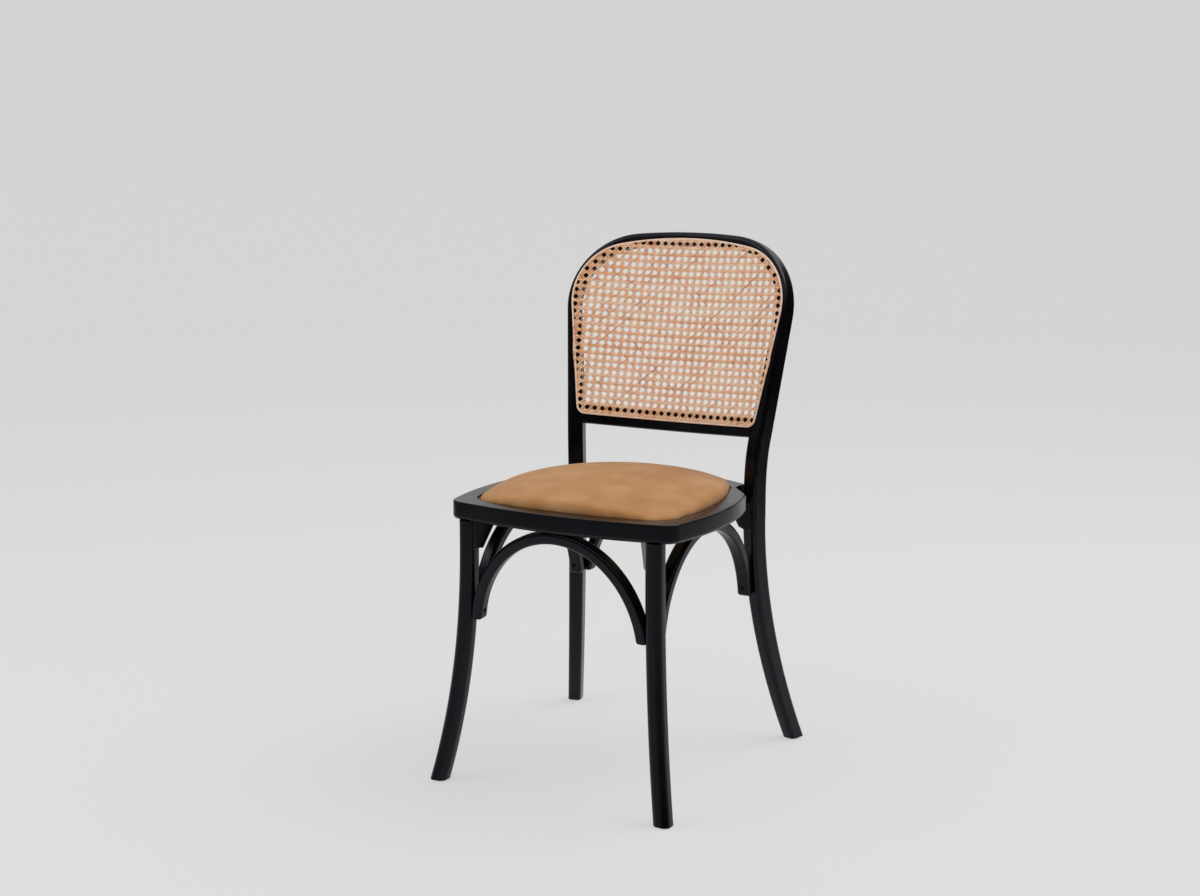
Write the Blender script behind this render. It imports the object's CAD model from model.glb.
import math
import random

import bmesh
import bpy
from mathutils import Matrix, Vector


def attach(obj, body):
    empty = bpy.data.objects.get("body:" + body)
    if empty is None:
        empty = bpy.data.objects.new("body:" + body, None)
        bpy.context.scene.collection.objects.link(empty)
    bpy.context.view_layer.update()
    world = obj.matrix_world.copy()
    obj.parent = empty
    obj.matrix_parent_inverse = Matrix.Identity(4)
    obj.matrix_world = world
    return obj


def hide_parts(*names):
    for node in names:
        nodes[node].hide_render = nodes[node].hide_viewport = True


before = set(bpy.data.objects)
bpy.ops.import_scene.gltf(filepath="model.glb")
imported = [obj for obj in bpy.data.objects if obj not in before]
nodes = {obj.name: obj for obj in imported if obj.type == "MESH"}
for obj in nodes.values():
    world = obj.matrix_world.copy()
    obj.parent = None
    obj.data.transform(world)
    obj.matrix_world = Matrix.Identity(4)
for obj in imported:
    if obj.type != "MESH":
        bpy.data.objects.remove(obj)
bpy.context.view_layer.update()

# Back hoop: one length of beech, steam-bent from foot to foot over the top of the back.
# It is sprayed with a satin black lacquer that lets a trace of the grain through.


def linear(hex_colour):
    """Linear RGBA of an sRGB hex colour."""
    channels = [int(hex_colour[k : k + 2], 16) / 255 for k in (1, 3, 5)]
    return [c / 12.92 if c <= 0.04045 else ((c + 0.055) / 1.055) ** 2.4 for c in channels] + [1.0]


def add(material, kind, inputs, stops=(), **settings):
    """Adds a node with its settings and colour stops; an input given as a (node, output) pair is a link."""
    node = material.node_tree.nodes.new(kind)
    for name, value in settings.items():
        setattr(node, name, value)
    for place, colour in stops:
        node.color_ramp.elements.new(place).color = linear(colour)
    if stops:
        node.color_ramp.elements.remove(node.color_ramp.elements[-1])
        node.color_ramp.elements.remove(node.color_ramp.elements[0])
    for name, value in inputs.items():
        if isinstance(value, tuple):
            material.node_tree.links.new(value[0].outputs[value[1]], node.inputs[name])
        else:
            node.inputs[name].default_value = value
    return node


def new_material(name):
    """Empty node material."""
    material = bpy.data.materials.new(name)
    material.use_nodes = True
    material.node_tree.nodes.clear()
    return material


def dress(node, material):
    """Gives a CAD node its finish."""
    nodes[node].data.materials.clear()
    nodes[node].data.materials.append(material)


# Satin lacquer on beech: near black with a cool sheen, fine pores running with the grain.
# Real pores are about 0.3 mm apart, drawn here at 2 mm so that they show at all.
pore_across = 0.002
pore_along = 0.050
lacquer_patch = 0.06
lacquer = new_material("satin_black_lacquer")
where = add(lacquer, "ShaderNodeTexCoord", {})
along_grain = [1 / pore_across, 1 / pore_across, 1 / pore_along]
pore_place = add(lacquer, "ShaderNodeMapping", {"Vector": (where, "Object"), "Scale": along_grain})
pores = add(lacquer, "ShaderNodeTexNoise", {"Vector": (pore_place, "Vector"), "Scale": 1.0, "Detail": 3.0})
per_patch = 1 / lacquer_patch
patchy = add(lacquer, "ShaderNodeTexNoise", {"Vector": (where, "Object"), "Scale": per_patch, "Detail": 4.0})
black_stops = [(0.3, "#050507"), (0.7, "#0a090c")]
black = add(lacquer, "ShaderNodeValToRGB", {"Fac": (patchy, "Fac")}, stops=black_stops)
satin = add(
    lacquer,
    "ShaderNodeMapRange",
    {"Value": (patchy, "Fac"), "From Min": 0.3, "From Max": 0.7, "To Min": 0.20, "To Max": 0.28},
)
pore_bump = add(lacquer, "ShaderNodeBump", {"Height": (pores, "Fac"), "Strength": 0.12, "Distance": 0.0003})
lacquered = add(
    lacquer,
    "ShaderNodeBsdfPrincipled",
    {
        "Base Color": (black, "Color"),
        "Roughness": (satin, "Result"),
        "Normal": (pore_bump, "Normal"),
        "IOR": 1.5,
        "Specular IOR Level": 0.3,
        "Specular Tint": linear("#dcd9ec"),
    },
)
add(lacquer, "ShaderNodeOutputMaterial", {"Surface": (lacquered, "BSDF")})
dress("back_hoop", lacquer)

# Cross rail: bowed beech between the uprights, lacquered with the hoop.
# Two beech dowels at each end hold it, glued and out of sight.
dress("back_rail", lacquer)

# Bare beech: pale straw with short darker flecks, matt where it was turned or sawn.
fleck_across = 0.0012
fleck_along = 0.010
beech = new_material("bare_beech")
where = add(beech, "ShaderNodeTexCoord", {})
along_fleck = [1 / fleck_along, 1 / fleck_across, 1 / fleck_across]
fleck_place = add(beech, "ShaderNodeMapping", {"Vector": (where, "Object"), "Scale": along_fleck})
flecks = add(beech, "ShaderNodeTexNoise", {"Vector": (fleck_place, "Vector"), "Scale": 1.0, "Detail": 3.0})
straw_stops = [(0.3, "#a9855a"), (0.7, "#cdb083")]
straw = add(beech, "ShaderNodeValToRGB", {"Fac": (flecks, "Fac")}, stops=straw_stops)
fleck_bump = add(beech, "ShaderNodeBump", {"Height": (flecks, "Fac"), "Strength": 0.2, "Distance": 0.0002})
sawn = add(
    beech,
    "ShaderNodeBsdfPrincipled",
    {"Base Color": (straw, "Color"), "Roughness": 0.7, "IOR": 1.5, "Normal": (fleck_bump, "Normal")},
)
add(beech, "ShaderNodeOutputMaterial", {"Surface": (sawn, "BSDF")})
dress("rail_dowels", beech)

# Cane panel: a sheet of rattan cane woven six ways, uprights and cross strands in pairs and single
# diagonals, which leaves eight-sided holes. It is stretched over the groove of the hoop and its edge
# is pressed into it, so that the sheet follows the bow of the back.
back_foot = Vector((0, 0.16433, 0.558))
back_recline = math.radians(13.1)
back_bow = 0.688
up_back = Vector((0, math.sin(back_recline), math.cos(back_recline)))
into_back = Vector((0, math.cos(back_recline), -math.sin(back_recline)))


def on_back(x, u, depth):
    """Point of the bowed back: x across, u up from the rail, depth behind its front face."""
    turn = math.asin(x / back_bow)
    reach = back_bow + depth
    across = Vector((reach * math.sin(turn), 0, 0))
    return back_foot + up_back * u + into_back * (reach * math.cos(turn) - back_bow) + across


def flat_on_back(point):
    """The same x and u of a point near the back."""
    away = point - back_foot
    turn = math.atan2(away.x, away.dot(into_back) + back_bow)
    return Vector((back_bow * math.sin(turn), away.dot(up_back), 0))


def straight_sides(node, count):
    """Outline of a CAD node seen flat, as the lines that touch it all round: a direction and a reach each."""
    points = [flat_on_back(v.co) for v in nodes[node].data.vertices]
    sides = []
    for k in range(count):
        turn = 2 * math.pi * k / count
        way = Vector((math.cos(turn), math.sin(turn), 0))
        sides.append((way, max(p.dot(way) for p in points)))
    return sides


column_pitch = 0.0140
row_pitch = 0.0130
pair_gap_across = 0.0027
pair_gap_up = 0.0025
pair_strand = 0.0020
diagonal_strand = 0.0018
strand_thickness = 0.00028
layer_step = 0.00036
strand_wave = 0.00010
sheet_depth = -0.00095
upright_length = 0.36
cross_length = 0.42
diagonal_length = 0.62
darkest_diagonal = -0.2
first_row = 0.0035
rows = 26
columns = 15
outline_lines = 60
weave = bmesh.new()
weave.loops.layers.uv.new("UVMap")
tone_layer = weave.verts.layers.float.new("tone")
chance = random.Random(7)


def strand(middle, turn, length, width, layer, step, darkest):
    """One strand of cane laid flat, rippling a little as it passes the others, in a chance tone."""
    size = Matrix.Diagonal((length, width, 1, 1))
    place = Matrix.Translation(middle) @ Matrix.Rotation(turn, 4, "Z") @ size
    count = round(length / step)
    made = bmesh.ops.create_grid(weave, x_segments=count, y_segments=1, size=0.5, matrix=place, calc_uvs=True)
    tone = chance.uniform(darkest, 1)
    along = Vector((math.cos(turn), math.sin(turn), 0))
    for v in made["verts"]:
        v[tone_layer] = tone
        v.co.z = layer * layer_step + strand_wave * math.sin(math.pi * v.co.dot(along) / step)


panel_middle = first_row + row_pitch * (rows - 1) / 2
slant = math.atan2(row_pitch, column_pitch)
diagonal_step = math.hypot(column_pitch, row_pitch) / 2
for column in range(-columns, columns + 1):
    for side in (-0.5, 0.5):
        x = (column + 0.5) * column_pitch + side * pair_gap_across
        strand(Vector((x, panel_middle, 0)), math.pi / 2, upright_length, pair_strand, -1.5, row_pitch / 2, 0)
for row in range(rows):
    for side in (-0.5, 0.5):
        u = first_row + row * row_pitch + side * pair_gap_up
        strand(Vector((0, u, 0)), 0, cross_length, pair_strand, 0.5, column_pitch / 2, 0)
for column in range(-columns - rows // 2, columns + rows // 2 + 1):
    middle = Vector((column * column_pitch, first_row + row_pitch * (rows // 2), 0))
    strand(middle, -slant, diagonal_length, diagonal_strand, -0.5, diagonal_step, darkest_diagonal)
    strand(middle, slant, diagonal_length, diagonal_strand, 1.5, diagonal_step, darkest_diagonal)
for way, reach in straight_sides("cane_panel", outline_lines):
    everything = weave.verts[:] + weave.edges[:] + weave.faces[:]
    bmesh.ops.bisect_plane(
        weave, geom=everything, dist=1e-7, plane_co=way * reach, plane_no=way, clear_outer=True
    )
for v in weave.verts:
    v.co = on_back(v.co.x, v.co.y, sheet_depth - v.co.z)
for face in weave.faces:
    face.smooth = True
weave_mesh = bpy.data.meshes.new("cane_weave")
weave.to_mesh(weave_mesh)
weave.free()
cane = bpy.data.objects.new("cane_weave", weave_mesh)
bpy.context.scene.collection.objects.link(cane)
thicken = cane.modifiers.new("strand_thickness", "SOLIDIFY")
thicken.thickness = strand_thickness
thicken.offset = 0

# Rattan peel: peach tan and slightly glossy on its rounded outer face, each strand a little different,
# with darker streaks a few centimetres long where the cane grew unevenly.
streak_across = 0.0020
streak_along = 0.035
rattan = new_material("woven_rattan_peel")
where = add(rattan, "ShaderNodeTexCoord", {})
tone = add(rattan, "ShaderNodeAttribute", {}, attribute_name="tone")
along_streak = [1 / streak_along, 1 / streak_across, 1 / streak_along]
streak_place = add(rattan, "ShaderNodeMapping", {"Vector": (where, "Object"), "Scale": along_streak})
streaks = add(rattan, "ShaderNodeTexNoise", {"Vector": (streak_place, "Vector"), "Scale": 1.0, "Detail": 3.0})
shade = add(
    rattan, "ShaderNodeMath", {0: (tone, "Fac"), 1: 0.45, 2: (streaks, "Fac")}, operation="MULTIPLY_ADD"
)
peel_stops = [(0.20, "#9c6038"), (0.40, "#e09a66"), (0.60, "#f6b888"), (0.95, "#fdd8b4")]
peel = add(rattan, "ShaderNodeValToRGB", {"Fac": (shade, "Value")}, stops=peel_stops)
across = add(rattan, "ShaderNodeSeparateXYZ", {"Vector": (where, "UV")})
off_middle = add(rattan, "ShaderNodeMath", {0: (across, "Y"), 1: 0.5}, operation="SUBTRACT")
rounded = add(rattan, "ShaderNodeMath", {0: (off_middle, "Value"), 1: 2.0}, operation="POWER")
crown = add(
    rattan,
    "ShaderNodeBump",
    {"Height": (rounded, "Value"), "Strength": 0.8, "Distance": 0.0008},
    invert=True,
)
shiny_peel = add(
    rattan,
    "ShaderNodeBsdfPrincipled",
    {"Base Color": (peel, "Color"), "Normal": (crown, "Normal"), "Roughness": 0.45, "IOR": 1.5},
)
add(rattan, "ShaderNodeOutputMaterial", {"Surface": (shiny_peel, "BSDF")})
cane.data.materials.append(rattan)
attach(cane, "root")
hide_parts("cane_panel")

# Spline: a thin round reed hammered into the groove over the edge of the cane, so that half of it
# shows as a bead along the inner side of the groove. It is glued, and left in its natural pale colour.
bead_radius = 0.0018
bead_inset = 0.0038
bead_depth = 0.0002
bead_lines = 120
bead_step = 0.008
shortest_step = 0.0008
bead_sides = straight_sides("cane_spline", bead_lines)
bead_line = []
for k, (way, reach) in enumerate(bead_sides):
    next_way, next_reach = bead_sides[(k + 1) % len(bead_sides)]
    cross = way.x * next_way.y - way.y * next_way.x
    near = reach - bead_inset
    far = next_reach - bead_inset
    corner = Vector(((near * next_way.y - far * way.y) / cross, (far * way.x - near * next_way.x) / cross, 0))
    if not bead_line or (corner - bead_line[-1]).length > shortest_step:
        bead_line.append(corner)
bead_points = []
for k, corner in enumerate(bead_line):
    following = bead_line[(k + 1) % len(bead_line)]
    pieces = max(1, round((following - corner).length / bead_step))
    bead_points += [corner.lerp(following, step / pieces) for step in range(pieces)]
bead_curve = bpy.data.curves.new("cane_bead", "CURVE")
bead_curve.dimensions = "3D"
bead_curve.bevel_depth = bead_radius
bead_curve.bevel_resolution = 3
run = bead_curve.splines.new("POLY")
run.points.add(len(bead_points) - 1)
for point, flat in zip(run.points, bead_points):
    point.co = (*on_back(flat.x, flat.y, bead_depth), 1)
run.use_cyclic_u = True
bead_maker = bpy.data.objects.new("cane_bead_line", bead_curve)
bpy.context.scene.collection.objects.link(bead_maker)
bead_mesh = bpy.data.meshes.new_from_object(bead_maker.evaluated_get(bpy.context.evaluated_depsgraph_get()))
bpy.data.objects.remove(bead_maker)
bead = bpy.data.objects.new("cane_bead", bead_mesh)
bpy.context.scene.collection.objects.link(bead)
for face in bead.data.polygons:
    face.use_smooth = True

# Round reed: pale straw, matt, with fine fibres along it drawn at 1.5 mm so that they show.
fibre_across = 0.0015
fibre_along = 0.025
reed = new_material("natural_reed")
where = add(reed, "ShaderNodeTexCoord", {})
along_fibre = [1 / fibre_along, 1 / fibre_across, 1 / fibre_along]
fibre_place = add(reed, "ShaderNodeMapping", {"Vector": (where, "Object"), "Scale": along_fibre})
fibres = add(reed, "ShaderNodeTexNoise", {"Vector": (fibre_place, "Vector"), "Scale": 1.0, "Detail": 2.0})
pale_stops = [(0.3, "#e3bda3"), (0.7, "#f2d9c6")]
pale = add(reed, "ShaderNodeValToRGB", {"Fac": (fibres, "Fac")}, stops=pale_stops)
fibre_bump = add(reed, "ShaderNodeBump", {"Height": (fibres, "Fac"), "Strength": 0.25, "Distance": 0.0003})
split_reed = add(
    reed,
    "ShaderNodeBsdfPrincipled",
    {"Base Color": (pale, "Color"), "Roughness": 0.6, "IOR": 1.5, "Normal": (fibre_bump, "Normal")},
)
add(reed, "ShaderNodeOutputMaterial", {"Surface": (split_reed, "BSDF")})
bead.data.materials.clear()
bead.data.materials.append(reed)
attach(bead, "root")
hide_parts("cane_spline")

# Seat ring: bent beech, rebated for the pad and notched at the back for the uprights, lacquered black.
# The front legs are tenoned into it from below.
dress("seat_frame", lacquer)
for leg in ("front_leg_left", "front_leg_right"):
    dress(leg, lacquer)

# Brace arches: four bent lengths of beech between the legs, each screwed to two legs and to the seat ring.
# Wedge blocks behind them tie every leg to the ring, out of sight from above.
for arch in ("front_arch", "rear_arch", "left_arch", "right_arch"):
    dress(arch, lacquer)
for end in ("front", "rear"):
    for side in ("left", "right"):
        dress("corner_block_" + end + "_" + side, lacquer)

# Screws: blackened steel wood screws, sunk in counterbores in the arches, blocks and ledge.
# The black oxide is thin and a little uneven, so the heads keep a dull metal glint.
oxide_patch = 0.0015
oxide = new_material("blackened_steel")
where = add(oxide, "ShaderNodeTexCoord", {})
per_patch = 1 / oxide_patch
patches = add(oxide, "ShaderNodeTexNoise", {"Vector": (where, "Object"), "Scale": per_patch, "Detail": 2.0})
dark_stops = [(0.3, "#1b1b1c"), (0.7, "#343436")]
dark = add(oxide, "ShaderNodeValToRGB", {"Fac": (patches, "Fac")}, stops=dark_stops)
oxidised = add(
    oxide,
    "ShaderNodeBsdfPrincipled",
    {"Base Color": (dark, "Color"), "Metallic": 1.0, "Roughness": 0.5},
)
add(oxide, "ShaderNodeOutputMaterial", {"Surface": (oxidised, "BSDF")})
for screws in ("arch_leg_screws", "arch_seat_screws", "corner_block_screws", "pad_screws"):
    dress(screws, oxide)

# Pad board: beech plywood under the foam, seen only from below through the ring.
# The pad screws come up through the ledge of the ring into it.
dress("seat_board", beech)

# Seat pad: foam on the board, pulled tight under a tan nubuck cover, crowned in the middle.
# The cover swells a little between its edges and is turned under the board as a hem.
pad_voxel = 0.0045
foam_to_cover_face = 0.00165
pad_swell = 0.0012
smoothing_loss = 0.0012
pad_floor = 0.4584
hem_height = 0.4605
settle_frames = 20
pad_pressure = 4
smoothing_turns = 2


def loose_copy(node, name):
    """Merged copy of a CAD node's mesh as a new object without a finish."""
    shape = bmesh.new()
    shape.from_mesh(nodes[node].data)
    bmesh.ops.remove_doubles(shape, verts=shape.verts, dist=1e-6)
    mesh = bpy.data.meshes.new(name)
    shape.to_mesh(mesh)
    shape.free()
    piece = bpy.data.objects.new(name, mesh)
    bpy.context.scene.collection.objects.link(piece)
    return piece


def settle(piece):
    """Applies a piece's modifiers as they stand."""
    settled = bpy.data.meshes.new_from_object(piece.evaluated_get(bpy.context.evaluated_depsgraph_get()))
    piece.modifiers.clear()
    piece.data = settled


pad = loose_copy("seat_foam", "seat_pad")
rounding = pad.modifiers.new("even_mesh", "REMESH")
rounding.mode = "VOXEL"
rounding.voxel_size = pad_voxel
settle(pad)
pushes = [v.normal * (foam_to_cover_face + smoothing_loss) for v in pad.data.vertices]
for v, push in zip(pad.data.vertices, pushes):
    v.co += push
for v in pad.data.vertices:
    v.co -= v.normal * pad_swell
before = [v.co.copy() for v in pad.data.vertices]
swelling = pad.modifiers.new("swelling", "CLOTH")
swelling.settings.use_pressure = True
swelling.settings.uniform_pressure_force = pad_pressure
swelling.settings.effector_weights.gravity = 0
for step in range(1, settle_frames + 1):
    bpy.context.scene.frame_set(step)
settle(pad)
bpy.context.scene.frame_set(1)
for v, start in zip(pad.data.vertices, before):
    move = v.co - start
    if move.length > pad_swell:
        v.co = start + move.normalized() * pad_swell
for v in pad.data.vertices:
    v.co.z = max(v.co.z, pad_floor)
smoothing = bmesh.new()
smoothing.from_mesh(pad.data)
for turn in range(smoothing_turns):
    bmesh.ops.smooth_vert(
        smoothing, verts=smoothing.verts, factor=0.5, use_axis_x=True, use_axis_y=True, use_axis_z=True
    )
for face in smoothing.faces:
    face.smooth = True
smoothing.to_mesh(pad.data)
smoothing.free()
soften = pad.modifiers.new("soften", "SUBSURF")
soften.levels = 1
soften.render_levels = 1

hem = loose_copy("seat_cover", "seat_pad_hem")
trimming = bmesh.new()
trimming.from_mesh(hem.data)
everything = trimming.verts[:] + trimming.edges[:] + trimming.faces[:]
bmesh.ops.bisect_plane(
    trimming, geom=everything, dist=1e-7, plane_co=(0, 0, hem_height), plane_no=(0, 0, 1), clear_outer=True
)
bmesh.ops.bridge_loops(trimming, edges=[e for e in trimming.edges if e.is_boundary])
trimming.to_mesh(hem.data)
trimming.free()

# Nubuck: buffed grain leather in warm tan, matt with a soft bloom and cloudy marks a few centimetres wide.
# Its nap is about 0.3 mm, drawn at 1.4 mm so that it shows.
nap_size = 0.0014
cloud_size = 0.055
nubuck = new_material("tan_nubuck")
where = add(nubuck, "ShaderNodeTexCoord", {})
nap = add(nubuck, "ShaderNodeTexNoise", {"Vector": (where, "Object"), "Scale": 1 / nap_size, "Detail": 3.0})
per_cloud = 1 / cloud_size
clouds = add(nubuck, "ShaderNodeTexNoise", {"Vector": (where, "Object"), "Scale": per_cloud, "Detail": 5.0})
mottle = add(
    nubuck, "ShaderNodeMath", {0: (nap, "Fac"), 1: 0.35, 2: (clouds, "Fac")}, operation="MULTIPLY_ADD"
)
tan_stops = [(0.42, "#a06f3c"), (0.68, "#ac7b49"), (0.95, "#b98b5c")]
tan = add(nubuck, "ShaderNodeValToRGB", {"Fac": (mottle, "Value")}, stops=tan_stops)
nap_bump = add(nubuck, "ShaderNodeBump", {"Height": (nap, "Fac"), "Strength": 0.25, "Distance": 0.0004})
buffed = add(
    nubuck,
    "ShaderNodeBsdfPrincipled",
    {
        "Base Color": (tan, "Color"),
        "Normal": (nap_bump, "Normal"),
        "Roughness": 0.85,
        "IOR": 1.5,
        "Specular IOR Level": 0.3,
        "Sheen Weight": 0.12,
        "Sheen Roughness": 0.5,
    },
)
add(nubuck, "ShaderNodeOutputMaterial", {"Surface": (buffed, "BSDF")})
for piece in (pad, hem):
    piece.data.materials.clear()
    piece.data.materials.append(nubuck)
    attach(piece, "root")
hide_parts("seat_foam", "seat_cover")

# Glides: moulded grey discs pinned into the ends of the legs.
# Moulded plastic has a fine even texture and wears to a dull face.
grit = 0.0008
glide = new_material("moulded_glide_plastic")
where = add(glide, "ShaderNodeTexCoord", {})
texture = add(glide, "ShaderNodeTexNoise", {"Vector": (where, "Object"), "Scale": 1 / grit, "Detail": 2.0})
grey_stops = [(0.3, "#8e8a83"), (0.7, "#a5a19a")]
grey = add(glide, "ShaderNodeValToRGB", {"Fac": (texture, "Fac")}, stops=grey_stops)
grit_bump = add(glide, "ShaderNodeBump", {"Height": (texture, "Fac"), "Strength": 0.2, "Distance": 0.0002})
moulded = add(
    glide,
    "ShaderNodeBsdfPrincipled",
    {"Base Color": (grey, "Color"), "Roughness": 0.6, "IOR": 1.46, "Normal": (grit_bump, "Normal")},
)
add(glide, "ShaderNodeOutputMaterial", {"Surface": (moulded, "BSDF")})
dress("foot_glides", glide)

# Studio floor: pale matt paper that rises into its own backdrop all round, without a seam.
# It is evenly lit, which a slight glow of its own stands for.
floor_reach = 7.0
sweep_radius = 3.0
sweep_steps = 12
cove = bmesh.new()
bmesh.ops.create_circle(cove, cap_ends=True, segments=128, radius=floor_reach)
rim = [e for e in cove.edges if e.is_boundary]
for step in range(1, sweep_steps + 1):
    turn = step / sweep_steps * math.pi / 2
    made = bmesh.ops.extrude_edge_only(cove, edges=rim)["geom"]
    rim = [g for g in made if isinstance(g, bmesh.types.BMEdge) and g.is_boundary]
    reach = floor_reach + sweep_radius * math.sin(turn)
    for v in [g for g in made if isinstance(g, bmesh.types.BMVert)]:
        away = Vector((v.co.x, v.co.y, 0)).normalized()
        v.co = away * reach + Vector((0, 0, sweep_radius * (1 - math.cos(turn))))
bmesh.ops.recalc_face_normals(cove, faces=cove.faces)
for face in cove.faces:
    face.smooth = True
cove_mesh = bpy.data.meshes.new("studio_floor")
cove.to_mesh(cove_mesh)
cove.free()
floor = bpy.data.objects.new("studio_floor", cove_mesh)
bpy.context.scene.collection.objects.link(floor)
paper = new_material("studio_paper")
matt_paper = add(
    paper,
    "ShaderNodeBsdfPrincipled",
    {
        "Base Color": linear("#7f7f7f"),
        "Roughness": 0.9,
        "Specular IOR Level": 0.0,
        "Emission Color": linear("#ffffff"),
        "Emission Strength": 0.50,
    },
)
add(paper, "ShaderNodeOutputMaterial", {"Surface": (matt_paper, "BSDF")})
floor.data.materials.append(paper)

# Flags: black cloth hung round the sides and front of the set, open behind the chair, which keeps the
# lacquer deep. They show in reflections only, and neither shade the chair nor stand in the picture.
flag_distance = 2.2
flag_height = 2.0
flag_opening = math.radians(90)
flag_steps = 48
camera_turn = math.radians(29.158)
backdrop_turn = math.pi / 2 + camera_turn
flag_start = backdrop_turn + flag_opening / 2
hanging = bmesh.new()
foot = hanging.verts.new((flag_distance * math.cos(flag_start), flag_distance * math.sin(flag_start), 0))
head = hanging.verts.new((foot.co.x, foot.co.y, flag_height))
pole = hanging.edges.new((foot, head))
flag_turn = 2 * math.pi - flag_opening
bmesh.ops.spin(
    hanging, geom=[foot, head, pole], axis=(0, 0, 1), cent=(0, 0, 0), angle=flag_turn, steps=flag_steps
)
flag_mesh = bpy.data.meshes.new("black_flags")
hanging.to_mesh(flag_mesh)
hanging.free()
flags = bpy.data.objects.new("black_flags", flag_mesh)
bpy.context.scene.collection.objects.link(flags)
flags.visible_camera = False
flags.visible_diffuse = False
flags.visible_shadow = False
flags.visible_transmission = False
cloth = new_material("black_flag_cloth")
matt_cloth = add(
    cloth,
    "ShaderNodeBsdfPrincipled",
    {"Base Color": linear("#0a0a0c"), "Roughness": 1.0, "Specular IOR Level": 0.0},
)
add(cloth, "ShaderNodeOutputMaterial", {"Surface": (matt_cloth, "BSDF")})
flags.data.materials.append(cloth)

# Lights: a white room, a soft box above the chair's rear left and a weaker fill from its front right.
# Both boxes are aimed at the seat.
aim_height = 0.45
world = bpy.data.worlds.new("studio")
world.use_nodes = True
world.node_tree.nodes["Background"].inputs["Color"].default_value = linear("#ffffff")
world.node_tree.nodes["Background"].inputs["Strength"].default_value = 0.75
bpy.context.scene.world = world
bpy.context.scene.view_settings.view_transform = "Standard"

for name, place, size, watts in (
    ("soft_box", (1.4, 1.2, 3.2), 2.2, 46),
    ("fill_box", (-2.2, -2.0, 2.4), 2.4, 26),
):
    lamp = bpy.data.lights.new(name, "AREA")
    lamp.size = size
    lamp.energy = watts
    box = bpy.data.objects.new(name, lamp)
    box.location = place
    aim = Vector((0, 0, aim_height)) - Vector(place)
    box.rotation_euler = aim.to_track_quat("-Z", "Y").to_euler()
    bpy.context.scene.collection.objects.link(box)

# Camera: stands where the picture was taken, in front of the sitter's left, and looks down a little.
# Its place, turn and lens were fitted to the chair's outline in the picture.
camera_place = (1.33607, -2.47475, 1.02295)
camera_dip = math.radians(9.876)
lens = bpy.data.cameras.new("camera")
lens.sensor_width = 36
lens.lens = 51.44
camera = bpy.data.objects.new("camera", lens)
camera.location = camera_place
camera.rotation_euler = (math.pi / 2 - camera_dip, 0, camera_turn)
bpy.context.scene.collection.objects.link(camera)
bpy.context.scene.camera = camera
